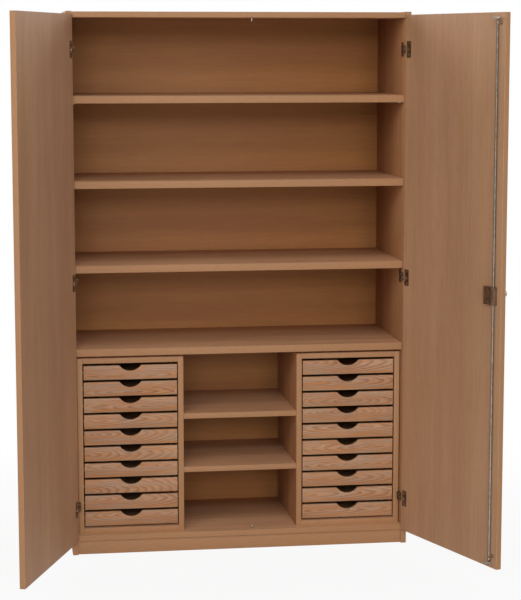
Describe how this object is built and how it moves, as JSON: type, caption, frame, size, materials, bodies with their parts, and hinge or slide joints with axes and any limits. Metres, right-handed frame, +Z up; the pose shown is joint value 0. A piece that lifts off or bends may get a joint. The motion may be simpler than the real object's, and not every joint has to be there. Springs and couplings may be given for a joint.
{
  "type": "classroom tray storage cupboard",
  "caption": "Tall two-door school cupboard in beech finish with shelves above, side inserts of shallow pull-out trays with scooped fronts below, and a rod lock on the right door.",
  "frame": {"origin": "on the floor under the middle of the plinth board", "axes": "+Z up, the open front with its doors faces -Y, +X to the right seen from the front"},
  "size_m": [1.6037, 1.0702, 1.9],
  "materials": {
    "beech_carcass": "satin beech-grain laminate with matching edging",
    "beech_door": "satin beech-grain laminate, upright grain",
    "tray_veneer": "satin beech veneer, grain across",
    "hinge_steel": "nickel-plated pressed steel",
    "rod_steel": "drawn bright steel",
    "lock_brown": "brown lacquer",
    "cylinder_nickel": "polished nickel"
  },
  "bodies": {
    "cupboard": {"left_side": "beech_carcass", "right_side": "beech_carcass", "top_panel": "beech_carcass", "bottom_panel": "beech_carcass", "back_panel": "beech_carcass", "plinth_board": "beech_carcass", "fixed_shelf": "beech_carcass", "upper_shelf_1": "beech_carcass", "upper_shelf_2": "beech_carcass", "upper_shelf_3": "beech_carcass", "centre_shelf_1": "beech_carcass", "centre_shelf_2": "beech_carcass", "left_insert_left_side": "beech_carcass", "left_insert_right_side": "beech_carcass", "left_insert_top": "beech_carcass", "left_insert_bottom": "beech_carcass", "right_insert_left_side": "beech_carcass", "right_insert_right_side": "beech_carcass", "right_insert_top": "beech_carcass", "right_insert_bottom": "beech_carcass", "left_hinge_arm_1": "hinge_steel", "left_hinge_arm_2": "hinge_steel", "left_hinge_arm_3": "hinge_steel", "right_hinge_arm_1": "hinge_steel", "right_hinge_arm_2": "hinge_steel", "right_hinge_arm_3": "hinge_steel", "top_strike_pin": "rod_steel", "bottom_strike_pin": "rod_steel"},
    "left_leaf": {"left_door": "beech_door", "left_hinge_cup_1": "hinge_steel", "left_hinge_cup_2": "hinge_steel", "left_hinge_cup_3": "hinge_steel"},
    "right_leaf": {"right_door": "beech_door", "right_hinge_cup_1": "hinge_steel", "right_hinge_cup_2": "hinge_steel", "right_hinge_cup_3": "hinge_steel", "lock_case": "lock_brown", "lock_rosette": "cylinder_nickel"},
    "locking_rod": {"lock_rod": "rod_steel"},
    "key_cylinder": {"lock_cylinder": "cylinder_nickel"},
    "left_tray_1_body": {"left_tray_1": "tray_veneer"},
    "left_tray_2_body": {"left_tray_2": "tray_veneer"},
    "left_tray_3_body": {"left_tray_3": "tray_veneer"},
    "left_tray_4_body": {"left_tray_4": "tray_veneer"},
    "left_tray_5_body": {"left_tray_5": "tray_veneer"},
    "left_tray_6_body": {"left_tray_6": "tray_veneer"},
    "left_tray_7_body": {"left_tray_7": "tray_veneer"},
    "left_tray_8_body": {"left_tray_8": "tray_veneer"},
    "left_tray_9_body": {"left_tray_9": "tray_veneer"},
    "left_tray_10_body": {"left_tray_10": "tray_veneer"},
    "right_tray_1_body": {"right_tray_1": "tray_veneer"},
    "right_tray_2_body": {"right_tray_2": "tray_veneer"},
    "right_tray_3_body": {"right_tray_3": "tray_veneer"},
    "right_tray_4_body": {"right_tray_4": "tray_veneer"},
    "right_tray_5_body": {"right_tray_5": "tray_veneer"},
    "right_tray_6_body": {"right_tray_6": "tray_veneer"},
    "right_tray_7_body": {"right_tray_7": "tray_veneer"},
    "right_tray_8_body": {"right_tray_8": "tray_veneer"},
    "right_tray_9_body": {"right_tray_9": "tray_veneer"},
    "right_tray_10_body": {"right_tray_10": "tray_veneer"}
  },
  "joints": [
    {"name": "left_door_hinge", "type": "hinge", "parent": "cupboard", "child": "left_leaf", "pos_m": [-0.59025, -0.03175, 0.97], "axis": [0, 0, -1], "range_deg": [-109.5, 0]},
    {"name": "right_door_hinge", "type": "hinge", "parent": "cupboard", "child": "right_leaf", "pos_m": [0.59025, -0.03175, 0.97], "axis": [0, 0, 1], "range_deg": [-109.5, 0]},
    {"name": "rod_turn", "type": "hinge", "parent": "right_leaf", "child": "locking_rod", "pos_m": [0.76028, -0.56058, 0.97], "axis": [0, 0, -1], "range_deg": [0, 45]},
    {"name": "key_turn", "type": "hinge", "parent": "right_leaf", "child": "key_cylinder", "pos_m": [0.78574, -0.55368, 0.975], "axis": [0.9426, 0.3338, 0], "range_deg": [0, 90]},
    {"name": "left_tray_1_slide", "type": "slide", "parent": "cupboard", "child": "left_tray_1_body", "axis": [0, -1, 0], "range_m": [0, 0.3]},
    {"name": "left_tray_2_slide", "type": "slide", "parent": "cupboard", "child": "left_tray_2_body", "axis": [0, -1, 0], "range_m": [0, 0.3]},
    {"name": "left_tray_3_slide", "type": "slide", "parent": "cupboard", "child": "left_tray_3_body", "axis": [0, -1, 0], "range_m": [0, 0.3]},
    {"name": "left_tray_4_slide", "type": "slide", "parent": "cupboard", "child": "left_tray_4_body", "axis": [0, -1, 0], "range_m": [0, 0.3]},
    {"name": "left_tray_5_slide", "type": "slide", "parent": "cupboard", "child": "left_tray_5_body", "axis": [0, -1, 0], "range_m": [0, 0.3]},
    {"name": "left_tray_6_slide", "type": "slide", "parent": "cupboard", "child": "left_tray_6_body", "axis": [0, -1, 0], "range_m": [0, 0.3]},
    {"name": "left_tray_7_slide", "type": "slide", "parent": "cupboard", "child": "left_tray_7_body", "axis": [0, -1, 0], "range_m": [0, 0.3]},
    {"name": "left_tray_8_slide", "type": "slide", "parent": "cupboard", "child": "left_tray_8_body", "axis": [0, -1, 0], "range_m": [0, 0.3]},
    {"name": "left_tray_9_slide", "type": "slide", "parent": "cupboard", "child": "left_tray_9_body", "axis": [0, -1, 0], "range_m": [0, 0.3]},
    {"name": "left_tray_10_slide", "type": "slide", "parent": "cupboard", "child": "left_tray_10_body", "axis": [0, -1, 0], "range_m": [0, 0.3]},
    {"name": "right_tray_1_slide", "type": "slide", "parent": "cupboard", "child": "right_tray_1_body", "axis": [0, -1, 0], "range_m": [0, 0.3]},
    {"name": "right_tray_2_slide", "type": "slide", "parent": "cupboard", "child": "right_tray_2_body", "axis": [0, -1, 0], "range_m": [0, 0.3]},
    {"name": "right_tray_3_slide", "type": "slide", "parent": "cupboard", "child": "right_tray_3_body", "axis": [0, -1, 0], "range_m": [0, 0.3]},
    {"name": "right_tray_4_slide", "type": "slide", "parent": "cupboard", "child": "right_tray_4_body", "axis": [0, -1, 0], "range_m": [0, 0.3]},
    {"name": "right_tray_5_slide", "type": "slide", "parent": "cupboard", "child": "right_tray_5_body", "axis": [0, -1, 0], "range_m": [0, 0.3]},
    {"name": "right_tray_6_slide", "type": "slide", "parent": "cupboard", "child": "right_tray_6_body", "axis": [0, -1, 0], "range_m": [0, 0.3]},
    {"name": "right_tray_7_slide", "type": "slide", "parent": "cupboard", "child": "right_tray_7_body", "axis": [0, -1, 0], "range_m": [0, 0.3]},
    {"name": "right_tray_8_slide", "type": "slide", "parent": "cupboard", "child": "right_tray_8_body", "axis": [0, -1, 0], "range_m": [0, 0.3]},
    {"name": "right_tray_9_slide", "type": "slide", "parent": "cupboard", "child": "right_tray_9_body", "axis": [0, -1, 0], "range_m": [0, 0.3]},
    {"name": "right_tray_10_slide", "type": "slide", "parent": "cupboard", "child": "right_tray_10_body", "axis": [0, -1, 0], "range_m": [0, 0.3]}
  ],
  "couplings": [
    {"joint": "key_turn", "follows": "rod_turn", "ratio": 2}
  ]
}
